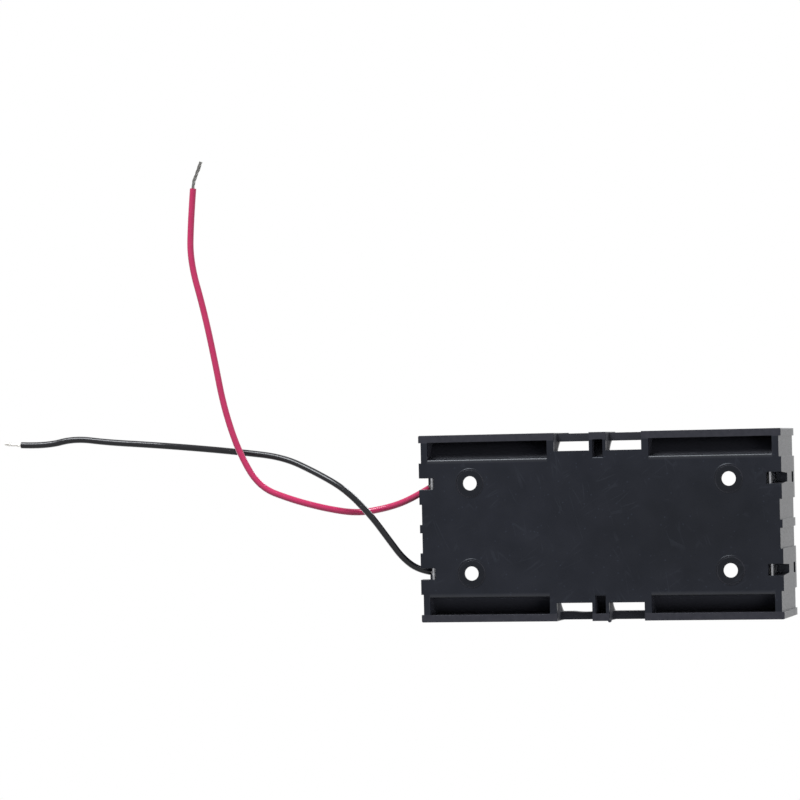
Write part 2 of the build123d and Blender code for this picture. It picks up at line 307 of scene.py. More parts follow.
def pad_group() -> bpy.types.NodeTree:
    """Build the round pads that stand a little proud round the screw holes, on the underside.

    Returns:
        A group with the outputs Mask for the pad, where the plastic's colour is darkened, Height
        for how proud it stands, and Groove for the ring sunk round it, whose colour the plastic
        lifts as painted light against the groove's shade.
    """
    inputs = {
        "Hole X": 27.5 * MM,
        "Hole Y": 9.5 * MM,
        "Radius": 2.9 * MM,
        "Edge": 0.3 * MM,
        "Base Skin": 0.3 * MM,
        "Base Plane": 0.02 * MM,
        "Groove Shift": 0.08,
    }
    group = ShaderGroup("screw_hole_pads", inputs, ("Mask", "Height", "Groove"))
    given = group.given
    folded = group.vectors("ABSOLUTE", {0: given["Vector"]})
    x, y, z = group.add("ShaderNodeSeparateXYZ", {0: folded}).outputs
    across = group.maths("SUBTRACT", x, given["Hole X"])
    along = group.maths("SUBTRACT", y, given["Hole Y"])
    squares = group.maths("MULTIPLY_ADD", across, across)
    group.put(squares.node, 2, group.product(along, along))
    past = group.maths("SUBTRACT", group.maths("SQRT", squares), given["Radius"])
    away = group.maths("DIVIDE", past, given["Edge"])
    under = group.maths("LESS_THAN", z, given["Base Skin"])
    off_ring = group.maths("ABSOLUTE", group.maths("ADD", away, given["Groove Shift"]))
    deep = group.maths("GREATER_THAN", z, given["Base Plane"])
    return group.end(
        Mask=group.product(group.span(away, -1.5, 0.5, 1.0, 0.0), under),
        Height=group.product(group.span(away, 0.0, 1.0, 1.0, 0.0), under),
        # The plastic lifts the colour in this ring as painted light against the groove's shade.
        Groove=group.product(group.span(off_ring, 0.4, 0.55, 1.0, 0.0), under, deep),
    )


def zone_group() -> bpy.types.NodeTree:
    """Build the zones of different skin, and those of painted light and shade.

    Returns:
        A group with the outputs Polished for the pockets' rounded inner edges, Sunk for the
        cavities of the underside, whose colour is lightened as painted fill light, Frosted for
        those in the middle, Scuffed for the undersides of the outer walls, and a last one for a
        soft oval of painted shade about 21 mm to +X of the middle.
    """
    inputs = {
        "Pocket Edge": 14.6 * MM,
        "Middle Reach": 10.8 * MM,
        "Pocket Reach": 36.7 * MM,
        "Outer Wall": 18.1 * MM,
        "Base Skin": 0.6 * MM,
        "Cavity Roof": 7.2 * MM,
        "Cavity Near": 14.2 * MM,
        "Cavity Far": 19.55 * MM,
        "Bay Shell": 9.8 * MM,
    }
    outputs = ("Polished", "Sunk", "Frosted", "Scuffed", "Handled")
    group = ShaderGroup("moulding_zones", inputs, outputs)
    given = group.given
    bay_axis = (0.0, 9.5 * MM, 11.05 * MM)
    edge_start, edge_full, edge_end = -1.0 * MM, -0.3 * MM, 0.8 * MM
    patch_shift, patch_scale = (-0.75, 0.0, 0.0), (36.0, 75.0, 0.0)
    folded = group.vectors("ABSOLUTE", {0: given["Vector"]})
    x, y, z = group.add("ShaderNodeSeparateXYZ", {0: folded}).outputs

    def below(value: object, limit: object) -> Socket:
        """One where a value lies below a limit."""
        return group.maths("LESS_THAN", value, limit)

    def inside(value: object, low: object, high: object) -> Socket:
        """One where a value lies between two others."""
        return group.product(group.maths("GREATER_THAN", value, low), below(value, high))

    edge = given["Pocket Edge"]
    at_base = below(z, given["Base Skin"])
    to_edge = group.span(group.maths("SUBTRACT", y, edge), edge_start, edge_full)
    before = below(y, group.maths("ADD", edge, edge_end))
    beside = inside(x, given["Middle Reach"], given["Pocket Reach"])
    section = group.add("ShaderNodeCombineXYZ", {1: y, 2: z}).outputs[0]
    off_axis = group.vectors("DISTANCE", {0: section, 1: bay_axis})
    outside = group.maths("GREATER_THAN", off_axis, given["Bay Shell"])
    in_height = inside(z, given["Base Skin"], given["Cavity Roof"])
    in_width = inside(y, given["Cavity Near"], given["Cavity Far"])
    sunk = group.product(in_height, in_width, outside, below(x, given["Pocket Reach"]))
    uneven = group.span(group.noise(given["Vector"], 900.0, 3.0), 0.3, 0.7, 0.6, 1.0)
    outer = group.maths("GREATER_THAN", y, given["Outer Wall"])
    patch = {"Vector": given["Vector"], "Location": patch_shift, "Scale": patch_scale}
    oval = group.add("ShaderNodeMapping", patch).outputs[0]
    return group.end(
        Polished=group.product(to_edge, before, at_base, beside),
        # The plastic lightens the colour here as painted fill light.
        Sunk=sunk,
        Frosted=group.product(sunk, below(x, given["Middle Reach"])),
        Scuffed=group.product(outer, at_base, uneven),
        # Painted shade: a soft oval about 21 mm to +X of the middle.
        Handled=group.span(group.vectors("LENGTH", {0: oval}), 0.3, 1.25, 1.0, 0.0),
    )


@dataclass
class SurfaceEffects:
    """The shader groups that more than one finish uses, each built once."""

    grain: bpy.types.NodeTree = field(default_factory=grain_group)
    scratches: bpy.types.NodeTree = field(default_factory=scratch_group)
    specks: bpy.types.NodeTree = field(default_factory=speck_group)
    pads: bpy.types.NodeTree = field(default_factory=pad_group)
    zones: bpy.types.NodeTree = field(default_factory=zone_group)


class FinishTree(NodeTree):
    """A material's own tree, with the shader and the object's coordinates ready."""

    def __init__(self, name: str) -> None:
        """Start a material.

        Args:
            name: The material's name.
        """
        self.material = bpy.data.materials.new(name)
        self.material.use_nodes = True
        super().__init__(self.material.node_tree)
        self.shader = self.tree.nodes["Principled BSDF"]
        self.place = self.add("ShaderNodeTexCoord").outputs["Object"]

    def group(self, tree: bpy.types.NodeTree, **values: float) -> bpy.types.Node:
        """Place one of the shared groups, fed with the object's coordinates.

        Args:
            tree: The group.
            values: Input name, with underscores for spaces, to its value.

        Returns:
            The group's node.
        """
        node = self.add("ShaderNodeGroup", node_tree=tree)
        self.put(node, "Vector", self.place)
        for word, value in values.items():
            self.put(node, word.replace("_", " "), value)
        return node

    def set(self, **values: object) -> None:
        """Give the shader's inputs their values, with underscores for the spaces in their names."""
        for word, value in values.items():
            self.put(self.shader, word.replace("_", " "), value)

    def bump(self, height: Socket, distance: float, strength: float) -> None:
        """Feed a height from 0 to 1 into the shader's normal; distance is what 1 stands for."""
        inputs = {"Height": height, "Distance": distance, "Strength": strength}
        self.set(Normal=self.add("ShaderNodeBump", inputs).outputs[0])


@dataclass(frozen=True)
class MouldedPlastic:
    """Black moulded plastic with a satin skin, faint mottle, fine scratches and a little dust."""

    effects: SurfaceEffects
    dark: Colour = (0.0068, 0.0076, 0.0115)
    light: Colour = (0.0115, 0.0124, 0.0175)
    scratch: Colour = (0.03, 0.033, 0.042)
    scratch_share: float = 0.22
    scratch_depth: float = 0.5
    dust: Colour = (0.05, 0.06, 0.085)
    dust_share: float = 0.22
    # Real scuffing under the outer walls, and painted light in the grooves round the screw holes.
    scuff_and_painted_groove_light: Colour = (0.032, 0.031, 0.038)
    # Painted fill light: a lighter colour for the underside's cavities.
    sunk: Colour = (0.028, 0.028, 0.034)
    smooth: float = 0.26
    satin: float = 0.38
    coarse: float = 0.3
    specular: float = 0.2
    sheen_tint: Colour = (0.88, 0.93, 1.0)
    polish: float = 0.5
    polish_roughness: float = 0.4
    # Painted shade: the colour's level inside that soft oval.
    painted_shade_level: float = 0.7
    # How far the colour is darkened in a soft disc round each screw hole.
    pad_shade: float = 0.6
    pad_height: float = 0.14 * MM
    edge_rounding: float = 0.12 * MM
    grain_depth: float = 0.02 * MM
    grain_strength: float = 0.4

    def build(self) -> Material:
        """Build the material.

        Returns:
            The finished material.
        """
        tree = FinishTree("black_moulded_plastic")
        shared = self.effects
        grain = tree.group(shared.grain, Grain_Scale=3200.0, Mottle_Scale=150.0).outputs
        first = tree.group(shared.scratches, Angle=0.55, Spacing=520.0, Thinness=0.03).outputs[0]
        crossed = tree.group(shared.scratches, Angle=1.9, Spacing=430.0, Thinness=0.025).outputs[0]
        specks = tree.group(shared.specks, Scale=1300.0, Size=0.2, Amount=0.12).outputs[0]
        pads = tree.group(shared.pads).outputs
        zones = tree.group(shared.zones).outputs
        marks = tree.maths("MAXIMUM", first, crossed)
        colour = tree.mix_colour(grain["Mottle"], rgba(self.dark), rgba(self.light))
        # Painted shade: the soft oval darkens the colour on the +X side.
        # The colour is also darkened in a soft disc round each screw hole.
        shades = ((zones["Handled"], self.painted_shade_level), (pads["Mask"], self.pad_shade))
        for share, shade in shades:
            shaded = tree.vectors("SCALE", {0: colour, "Scale": shade})
            colour = tree.mix_colour(share, colour, shaded)
        layers = (
            (tree.product(marks, self.scratch_share), self.scratch),
            (tree.product(specks, self.dust_share), self.dust),
            (zones["Scuffed"], self.scuff_and_painted_groove_light),
            # Painted fill light in the underside's cavities.
            (zones["Sunk"], self.sunk),
            # Painted light in the grooves round the screw holes.
            (pads["Groove"], self.scuff_and_painted_groove_light),
        )
        for share, over in layers:
            colour = tree.mix_colour(share, colour, rgba(over))
        skin = tree.span(grain["Fine"], 0.0, 1.0, self.smooth, self.satin)
        rounded = tree.add("ShaderNodeBevel", {"Radius": self.edge_rounding})
        rounded.samples = 4
        height = tree.maths("ADD", grain["Height"], tree.product(marks, -self.scratch_depth))
        normal = rounded.outputs[0]
        reliefs = (
            (height, self.grain_depth, self.grain_strength),
            (pads["Height"], self.pad_height, 1.0),
        )
        for relief, distance, strength in reliefs:
            bump = {"Height": relief, "Distance": distance, "Strength": strength, "Normal": normal}
            normal = tree.add("ShaderNodeBump", bump).outputs[0]
        tree.set(
            Base_Color=colour,
            Roughness=tree.maths("ADD", skin, tree.product(zones["Frosted"], self.coarse)),
            Coat_Weight=tree.product(zones["Polished"], self.polish),
            Coat_Roughness=self.polish_roughness,
            Specular_IOR_Level=self.specular,
            Specular_Tint=rgba(self.sheen_tint),
            Normal=normal,
        )
        return tree.material


@dataclass(frozen=True)
class PlatedMetal:
    """Nickel plating with rolling streaks and slightly dulled patches."""

    effects: SurfaceEffects
    name: str = "nickel_plating"
    bright: Colour = (0.62, 0.63, 0.66)
    dull: Colour = (0.42, 0.43, 0.45)
    torn_edge: Colour = (0.12, 0.12, 0.125)
    smooth: float = 0.1
    rough: float = 0.24
    dull_share: float = 0.5
    streaks: Point = (1.0, 40.0, 900.0)
    streak_depth: float = 0.006 * MM
    streak_strength: float = 0.6
    sheared_below: float = 0.0

    def build(self) -> Material:
        """Build the material.

        Returns:
            The finished material.
        """
        tree = FinishTree(self.name)
        grain = tree.group(self.effects.grain, Grain_Scale=1800.0, Mottle_Scale=260.0).outputs
        drawn = tree.add("ShaderNodeMapping", {"Vector": tree.place, "Scale": self.streaks})
        rolled = tree.noise(drawn.outputs[0], 8.0, 3.0)
        share = tree.product(grain["Mottle"], self.dull_share)
        plated = tree.mix_colour(share, rgba(self.bright), rgba(self.dull))
        height = tree.add("ShaderNodeSeparateXYZ", {0: tree.place}).outputs[2]
        cut_edge = tree.maths("LESS_THAN", height, self.sheared_below)
        torn = tree.product(cut_edge, tree.span(grain["Fine"], 0.0, 1.0, 0.35, 0.85))
        tree.set(
            Base_Color=tree.mix_colour(torn, plated, rgba(self.torn_edge)),
            Roughness=tree.span(rolled, 0.3, 0.7, self.smooth, self.rough),
            Metallic=1.0,
        )
        tree.bump(rolled, self.streak_depth, self.streak_strength)
        return tree.material


@dataclass(frozen=True)
class Insulation:
    """Soft wire insulation with a faint drawn texture and handling marks."""

    effects: SurfaceEffects
    name: str
    colour: Colour
    worn: Colour
    worn_share: float = 0.5
    dust: Colour = (0.4, 0.4, 0.42)
    dust_share: float = 0.15
    smooth: float = 0.1
    rough: float = 0.2
    specular: float = 0.28
    grain_depth: float = 0.02 * MM
    grain_strength: float = 0.08

    def build(self) -> Material:
        """Build the material.

        Returns:
            The finished material.
        """
        tree = FinishTree(self.name)
        grain = tree.group(self.effects.grain, Grain_Scale=1500.0, Mottle_Scale=210.0).outputs
        specks = tree.group(self.effects.specks, Scale=1500.0, Size=0.2, Amount=0.04).outputs[0]
        share = tree.product(grain["Mottle"], self.worn_share)
        base = tree.mix_colour(share, rgba(self.colour), rgba(self.worn))
        dust_share = tree.product(specks, self.dust_share)
        tree.set(
            Base_Color=tree.mix_colour(dust_share, base, rgba(self.dust)),
            Roughness=tree.span(grain["Fine"], 0.0, 1.0, self.smooth, self.rough),
            Specular_IOR_Level=self.specular,
        )
        tree.bump(grain["Height"], self.grain_depth, self.grain_strength)
        return tree.material


@dataclass(frozen=True)
class Solder:
    """Solder with a crystalline skin, darkened by painted shade and by dark amber residue."""

    effects: SurfaceEffects
    # The solder's metal colour, darkened as painted shade.
    tin_in_painted_shade: Colour = (0.32, 0.32, 0.33)
    flux_and_painted_shade: Colour = (0.05, 0.03, 0.015)
    smooth: float = 0.28
    rough: float = 0.5
    crystal_depth: float = 0.05 * MM
    crystal_strength: float = 0.6

    def build(self) -> Material:
        """Build the material.

        Returns:
            The finished material.
        """
        tree = FinishTree("tin_solder")
        grain = tree.group(self.effects.grain, Grain_Scale=2600.0, Mottle_Scale=900.0).outputs
        # Most of the surface takes the dark amber colour: real residue, laid on heavily as painted
        # shade.
        share = tree.span(grain["Mottle"], 0.3, 0.7, 0.1, 0.9)
        tree.set(
            Base_Color=tree.mix_colour(share, rgba(self.tin_in_painted_shade), rgba(self.flux_and_painted_shade)),
            Metallic=tree.span(share, 0.0, 0.8, 1.0, 0.2),
            Roughness=tree.span(grain["Fine"], 0.0, 1.0, self.smooth, self.rough),
        )
        tree.bump(grain["Height"], self.crystal_depth, self.crystal_strength)
        return tree.material


@dataclass
class Finishes:
    """Every finish of the holder, built once."""

    effects: SurfaceEffects = field(default_factory=SurfaceEffects)
    no_streaks: Point = (1.0, 1.0, 1.0)
    wire_grain: float = 0.01 * MM

    def __post_init__(self) -> None:
        """Build the materials."""
        shared = self.effects
        self.plastic = MouldedPlastic(shared).build()
        self.plate = PlatedMetal(shared, sheared_below=1.05 * MM).build()
        self.wire = PlatedMetal(
            shared,
            name="plated_spring_wire",
            bright=(0.66, 0.65, 0.64),
            dull=(0.4, 0.39, 0.38),
            smooth=0.22,
            rough=0.4,
            streaks=self.no_streaks,
            streak_depth=self.wire_grain,
        ).build()
        crimson, worn_crimson = (0.48, 0.018, 0.094), (0.54, 0.03, 0.116)
        black, worn_black = (0.009, 0.009, 0.011), (0.016, 0.016, 0.019)
        red = Insulation(shared, "crimson_insulation", crimson, worn_crimson, specular=0.36)
        self.red = red.build()
        self.black = Insulation(shared, "black_insulation", black, worn_black).build()
        self.dull_strands = self.strand_metal("dull_tinned_strands", 0.25)
        self.bright_strands = self.strand_metal("bright_tinned_strands", 0.75)
        self.solder = Solder(shared).build()

    def strand_metal(self, name: str, shine: float) -> Material:
        """Build the finish of one lead's bare strands.

        Args:
            name: The material's name.
            shine: Reflectance of its cleanest parts.

        Returns:
            The finished material.
        """
        bright = (shine, shine * 0.985, shine * 0.95)
        dull = (shine * 0.55, shine * 0.53, shine * 0.5)
        return PlatedMetal(
            self.effects,
            name,
            bright,
            dull,
            smooth=0.25,
            rough=0.45,
            streaks=self.no_streaks,
            streak_depth=self.wire_grain,
        ).build()


def link(obj: Object) -> Object:
    """Put a new object into the scene and hand it back."""
    bpy.context.scene.collection.objects.link(obj)
    return obj


def dress_node(node: str, material: Material) -> None:
    """Give a CAD node its finish.

    Args:
        node: Name of the CAD node.
        material: The finish that fills its slots.
    """
    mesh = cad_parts[node].data
    mesh.materials.clear()
    mesh.materials.append(material)
    log.info("finish %s on %s", material.name, node)


def solid_from(name: str, made: BMesh, material: Material) -> Object:
    """Turn a bmesh into a flat-shaded piece with outward normals.

    Args:
        name: The piece's name.
        made: The bmesh, freed by this call.
        material: Its finish.

    Returns:
        The new object.
    """
    bmesh.ops.recalc_face_normals(made, faces=made.faces)
    mesh = bpy.data.meshes.new(name)
    made.to_mesh(mesh)
    made.free()
    mesh.materials.append(material)
    log.info("piece %s, %d faces", name, len(mesh.polygons))
    return link(bpy.data.objects.new(name, mesh))


class NodeShape:
    """A shape made by a geometry node tree that is built here and ends as a plain mesh."""

    def __init__(self, name: str, inputs: dict[str, int | float]) -> None:
        """Start the tree.

        Args:
            name: The tree's name.
            inputs: Input name to its value, whose type picks the socket's.
        """
        self.inputs = inputs
        self.tree = bpy.data.node_groups.new(name, "GeometryNodeTree")
        face, shape = self.tree.interface, "NodeSocketGeometry"
        face.new_socket("Geometry", in_out="INPUT", socket_type=shape)
        for word, value in inputs.items():
            kind = "NodeSocketInt" if isinstance(value, int) else "NodeSocketFloat"
            face.new_socket(word, in_out="INPUT", socket_type=kind)
        face.new_socket("Geometry", in_out="OUTPUT", socket_type=shape)
        self.nodes = NodeTree(self.tree)
        source = self.nodes.add("NodeGroupInput")
        self.sink = self.nodes.add("NodeGroupOutput")
        self.given = {s.name: s for s in source.outputs if s.name}

    def wires(self, lines: Socket, radius: Socket, corners: int, material: Material) -> None:
        """End the tree in real round wires with closed ends and their finish set.

        Args:
            lines: Their middle lines.
            radius: Their radius.
            corners: Corners of their section.
            material: Their finish.
        """
        n = self.nodes
        circle = {"Resolution": corners, "Radius": radius}
        section = n.add("GeometryNodeCurvePrimitiveCircle", circle).outputs[0]
        tube = {"Curve": lines, "Profile Curve": section, "Fill Caps": True}
        tubes = n.add("GeometryNodeCurveToMesh", tube).outputs[0]
        real = n.add("GeometryNodeRealizeInstances", {"Geometry": tubes}).outputs[0]
        finish = {"Geometry": real, "Material": material}
        done = n.add("GeometryNodeSetMaterial", finish).outputs[0]
        n.put(self.sink, 0, done)

    def make(self, name: str, carrier: bpy.types.Mesh, material: Material) -> Object:
        """Run the tree on a carrier mesh and keep the result as a plain mesh.

        Args:
            name: The piece's name.
            carrier: The mesh that goes into the tree.
            material: The finish, kept in the new mesh's first slot.

        Returns:
            The finished piece.
        """
        holder = link(bpy.data.objects.new(name + "_carrier", carrier))
        modifier = holder.modifiers.new("shape", "NODES")
        modifier.node_group = self.tree
        for item in self.tree.interface.items_tree:
            if item.in_out == "INPUT" and item.name in self.inputs:
                modifier[item.identifier] = self.inputs[item.name]
        graph = bpy.context.evaluated_depsgraph_get()
        mesh = bpy.data.meshes.new_from_object(holder.evaluated_get(graph))
        holder.modifiers.remove(modifier)
        bpy.data.objects.remove(holder)
        mesh.name = name
        mesh.materials.clear()
        mesh.materials.append(material)
        mesh.polygons.foreach_set("use_smooth", [True] * len(mesh.polygons))
        log.info("piece %s, %d faces from a node tree", name, len(mesh.polygons))
        return link(bpy.data.objects.new(name, mesh))


@dataclass
class Lead:
    """One free lead: its insulation, and the bare strands that end it."""

    side: Side
    route: list[Point]
    bend: list[Point]
    length: float
    insulation: Material
    metal: Material
    strand_end: StrandEnd
    diameter: float = 1.4 * MM
    bundle_diameter: float = 0.8 * MM
    strand_diameter: float = 0.16 * MM
    tip_straight: float = 1.6 * MM
    strands: int = 14
    strand_corners: int = 7
    twist_turns: float = 1.3
    tip_points: int = 28
    seed: int = 7

    def placed(self, points: list[Point]) -> list[Vector]:
        """Route points in millimetres, moved to the notch that the lead leaves, in metres."""
        notch = Vector((PLACES.end_x, self.side.value * PLACES.bay_y, 0.0))
        return [notch + Vector(point) * MM for point in points]

    def spline(self, name: str, points: list[Vector]) -> Object:
        """A smooth line with the given control points.

        Args:
            name: Name of the curve.
            points: Its control points.

        Returns:
            The curve's object.
        """
        curve = bpy.data.curves.new(name, "CURVE")
        curve.dimensions = "3D"
        curve.resolution_u = 14
        line = curve.splines.new("NURBS")
        line.points.add(len(points) - 1)
        for place, point in zip(line.points, points):
            place.co = (*point, 1.0)
        line.order_u = 3
        line.use_endpoint_u = True
        return link(bpy.data.objects.new(name, curve))

    def make_insulation(self) -> Object:
        """The insulated length, as a curve with a round section.

        Returns:
            The curve's object.
        """
        lead = self.spline(self.side.word + "_lead_insulation", self.placed(self.route))
        lead.data.bevel_depth = self.diameter / 2
        lead.data.bevel_resolution = 6
        lead.data.use_fill_caps = True
        lead.data.materials.append(self.insulation)
        return lead

    def tip_line(self) -> bpy.types.Mesh:
        """The middle line of the stripped end.

        Returns:
            A mesh of points and edges along it.
        """
        last, before = self.placed(self.route)[-1], self.placed(self.route)[-2]
        along = (last - before).normalized()
        start = last - along * self.diameter / 2
        points = [start, last, last + along * self.tip_straight] + self.placed(self.bend)
        guide = self.spline(self.side.word + "_tip_guide", points)
        graph = bpy.context.evaluated_depsgraph_get()
        mesh = bpy.data.meshes.new_from_object(guide.evaluated_get(graph))
        bpy.data.objects.remove(guide)
        return mesh

    def make_strands(self) -> Object:
        """The bare strands, twisted round each other and parting a little at their cut.

        Returns:
            The strands as one mesh.
        """
        shape = NodeShape(
            self.side.word + "_strand_bundle",
            {
                "Strands": self.strands,
                "Bundle Radius": (self.bundle_diameter - self.strand_diameter) / 2,
                "Strand Radius": self.strand_diameter / 2,
                "Turns": self.twist_turns,
                "Fray": self.strand_end.value * self.strand_diameter,
                "Seed": self.seed + self.side.value,
            },
        )
        n, given = shape.nodes, shape.given
        line = n.add("GeometryNodeMeshToCurve", {"Mesh": given["Geometry"]}).outputs[0]
        even = n.add("GeometryNodeResampleCurve", {"Curve": line, "Count": self.tip_points})
        copies = n.add("GeometryNodeDuplicateElements", domain="SPLINE")
        n.put(copies, "Geometry", even.outputs[0])
        n.put(copies, "Amount", given["Strands"])
        number = copies.outputs["Duplicate Index"]
        share = n.add("GeometryNodeSplineParameter").outputs["Factor"]
        chance = {"Min": 0.0, "Max": 1.0, "ID": number, "Seed": given["Seed"]}
        draws = n.add("FunctionNodeRandomValue", chance, data_type="FLOAT").outputs
        drawn = next(s for s in draws if s.type == "VALUE" and s.enabled)
        # A sunflower pattern fills the bundle's round section evenly.
        spread = n.maths("SQRT", n.maths("DIVIDE", n.maths("ADD", number, 0.5), given["Strands"]))
        golden = n.product(number, math.pi * (3 - math.sqrt(5)))
        angle = n.maths("ADD", golden, n.product(share, given["Turns"], 2 * math.pi))
        parting = n.product(n.maths("POWER", share, 3.0), n.product(given["Fray"], drawn))
        radius = n.maths("ADD", n.product(spread, given["Bundle Radius"]), parting)
        normal = n.add("GeometryNodeInputNormal").outputs[0]
        tangent = n.add("GeometryNodeInputTangent").outputs[0]
        across = n.vectors("CROSS_PRODUCT", {0: tangent, 1: normal})
        legs = [
            n.vectors("SCALE", {0: axis, "Scale": leg})
            for axis, leg in zip((normal, across), n.polar(radius, angle))
        ]
        offset = n.vectors("ADD", {0: legs[0], 1: legs[1]})
        moved = n.add("GeometryNodeSetPosition", {"Geometry": copies.outputs[0], "Offset": offset})
        shape.wires(moved.outputs[0], given["Strand Radius"], self.strand_corners, self.metal)
        return shape.make(self.side.word + "_lead_strands", self.tip_line(), self.metal)

    def build(self) -> None:
        lead = self.make_insulation()
        strands = self.make_strands()
        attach(lead, ROOT_BODY)
        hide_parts(self.side.word + "_lead")
        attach(strands, ROOT_BODY)
        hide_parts(self.side.word + "_lead_tip")
        log.info("%s lead, %.1f mm long", self.side.word, self.length / MM)


@dataclass
class ConicalSpring:
    """One contact spring: a flat inward base coil, a rising cone and a flat tip coil."""

    side: Side
    material: Material
    wire: float = 0.8 * MM
    base_radius: float = 4.2 * MM
    base_drop: float = 0.85 * MM
    tip_radius: float = 2.5 * MM
    length: float = 7.5 * MM
    travel: float = 4.2 * MM
    rising_turns: float = 3.0
    tip_turns: float = 0.5
    points_per_turn: int = 40
    wire_corners: int = 14

    def make(self) -> Object:
        """Build the wound wire.

        Returns:
            The spring as one mesh, in place.
        """
        turns = 1 + self.rising_turns + self.tip_turns
        shape = NodeShape(
            self.side.word + "_conical_spring",
            {
                "Turns": turns,
                "Wire Radius": self.wire / 2,
                "Base Radius": self.base_radius,
                "Inner Radius": self.base_radius - self.base_drop,
                "Tip Radius": self.tip_radius,
                "Rise": self.length - self.wire,
            },
        )
        n, given = shape.nodes, shape.given
        count = int(turns * self.points_per_turn) + 1
        line = n.add("GeometryNodeCurvePrimitiveLine").outputs[0]
        even = n.add("GeometryNodeResampleCurve", {"Curve": line, "Count": count}).outputs[0]
        share = n.add("GeometryNodeSplineParameter").outputs["Factor"]
        turn = n.product(share, given["Turns"])
        flat_part = n.span(turn, 0.0, 1.0, given["Base Radius"], given["Inner Radius"])
        climb = n.span(turn, 1.0, 1.0 + self.rising_turns)
        narrowing = n.maths("SUBTRACT", given["Tip Radius"], given["Inner Radius"])
        radius = n.maths("ADD", flat_part, n.span(climb, 0.0, 1.0, 0.0, narrowing))
        height = n.maths("ADD", given["Wire Radius"], n.product(climb, given["Rise"]))
        cosine_leg, sine_leg = n.polar(radius, n.product(turn, 2 * math.pi))
        place = n.add("ShaderNodeCombineXYZ", {0: cosine_leg, 1: sine_leg, 2: height}).outputs[0]
        wound = n.add("GeometryNodeSetPosition", {"Geometry": even, "Position": place}).outputs[0]
        shape.wires(wound, given["Wire Radius"], self.wire_corners, self.material)
        carrier = bpy.data.meshes.new("spring_carrier")
        spring = shape.make(self.side.word + "_bay_coil", carrier, self.material)
        seat = Matrix(((0, 0, -1), (1, 0, 0), (0, -1, 0))).to_4x4()
        seat.translation = (PLACES.plate_face, self.side.value * PLACES.bay_y, PLACES.bay_axis_z)
        spring.data.transform(seat)
        return spring

    def build(self) -> None:
        """Make the spring and hang it, with a mesh of its own, on its coil's body."""
        spring = self.make()
        body = self.side.word + "_bay_coil"
        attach(spring, body)
        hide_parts(self.side.word + "_bay_spring")
        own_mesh(spring)


@dataclass
class BayFloorMarks:
    """The signs and ejector pin marks moulded into the floors of the bays."""

    material: Material
    arm: float = 2.3 * MM
    stroke: float = 0.9 * MM
    raise_by: float = 0.28 * MM
    sink: float = 0.15 * MM
    plus_x: float = 19.0 * MM
    pin_radius: float = 1.6 * MM
    pin_raise: float = 0.12 * MM
    pin_corners: int = 24
    pin_places: tuple[float, ...] = (-11.5 * MM, 0.0, 11.5 * MM)

    def on_bay(self, x: float, across: float, side: Side, lift: float) -> Vector:
        """A point over a bay's round floor.

        Args:
            x: Place along the bay.
            across: Place across it, from its lowest line.
            side: Which bay.
            lift: Height over the surface.

        Returns:
            The point in the row frame.
        """
        radius = PLACES.bay_radius - lift
        angle = across / PLACES.bay_radius
        y = side.value * PLACES.bay_y + radius * math.sin(angle)
        return Vector((x, y, PLACES.bay_axis_z - radius * math.cos(angle)))

    def raised(
        self, made: BMesh, outline: list[tuple[float, float]], side: Side, lift: float
    ) -> None:
        """Add a raised flat shape with a closed wall all round.

        Args:
            made: The bmesh to add to.
            outline: Corners as places along and across the bay.
            side: Which bay.
            lift: Height over the surface.
        """
        top = [made.verts.new(self.on_bay(x, across, side, lift)) for x, across in outline]
        foot = [made.verts.new(self.on_bay(x, across, side, -self.sink)) for x, across in outline]
        made.faces.new(top)
        made.faces.new(foot)
        for index in range(len(outline)):
            after = (index + 1) % len(outline)
            made.faces.new((top[index], top[after], foot[after], foot[index]))

    def sign(self, made: BMesh, pole: Pole, x: float, side: Side) -> None:
        """Add a plus or minus sign.

        Args:
            made: The bmesh to add to.
            pole: Which sign.
            x: Its place along the bay.
            side: Which bay.
        """
        a, s = self.arm, self.stroke / 2
        if pole is Pole.MINUS:
            corners = [(-s, -a), (s, -a), (s, 0.0), (s, a), (-s, a), (-s, 0.0)]
        else:
            quarter = [(s, s), (s, a), (-s, a)]
            corners = []
            for turn in range(4):
                quarter_turn = turn * math.pi / 2
                c, d = round(math.cos(quarter_turn)), round(math.sin(quarter_turn))
                corners += [(c * u - d * v, d * u + c * v) for u, v in quarter]
        self.raised(made, [(x + u, v) for u, v in corners], side, self.raise_by)

    def build(self) -> None:
        """Make all marks as one piece on the tray's body."""
        made = bmesh.new()
        for side in Side:
            plus_x = side.value * self.plus_x
            self.sign(made, Pole.PLUS, plus_x, side)
            self.sign(made, Pole.MINUS, -plus_x, side)
            for x in self.pin_places:
                angles = [step * 2 * math.pi / self.pin_corners for step in range(self.pin_corners)]
                r = self.pin_radius
                ring = [(x + r * math.cos(angle), r * math.sin(angle)) for angle in angles]
                self.raised(made, ring, side, self.pin_raise)
        marks = solid_from("bay_floor_marks", made, self.material)
        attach(marks, ROOT_BODY)


@dataclass(frozen=True)
class Viewpoint:
    """The photograph's camera, found from the tray's corners, holes and end face."""

    place: Point = (0.14342, -0.01651, -0.72759)
    turn: Point = (-0.0118, 0.25, -0.0228)
    lens: float = 159.62
    sensor: float = 36.0
    nearest: float = 0.05
    farthest: float = 20.0

    def build(self) -> None:
        """Make the camera and set it as the scene's."""
        data = bpy.data.cameras.new("photograph_view")
        data.lens = self.lens
        data.sensor_width = self.sensor
        data.clip_start = self.nearest
        data.clip_end = self.farthest
        camera = link(bpy.data.objects.new("photograph_view", data))
        turn = Vector(self.turn)
        axes = Matrix.Rotation(turn.length, 3, turn.normalized())
        flipped = Matrix((axes[0], -axes[1], -axes[2])).transposed()
        camera.matrix_world = Matrix.Translation(self.place) @ flipped.to_4x4()
        bpy.context.scene.camera = camera


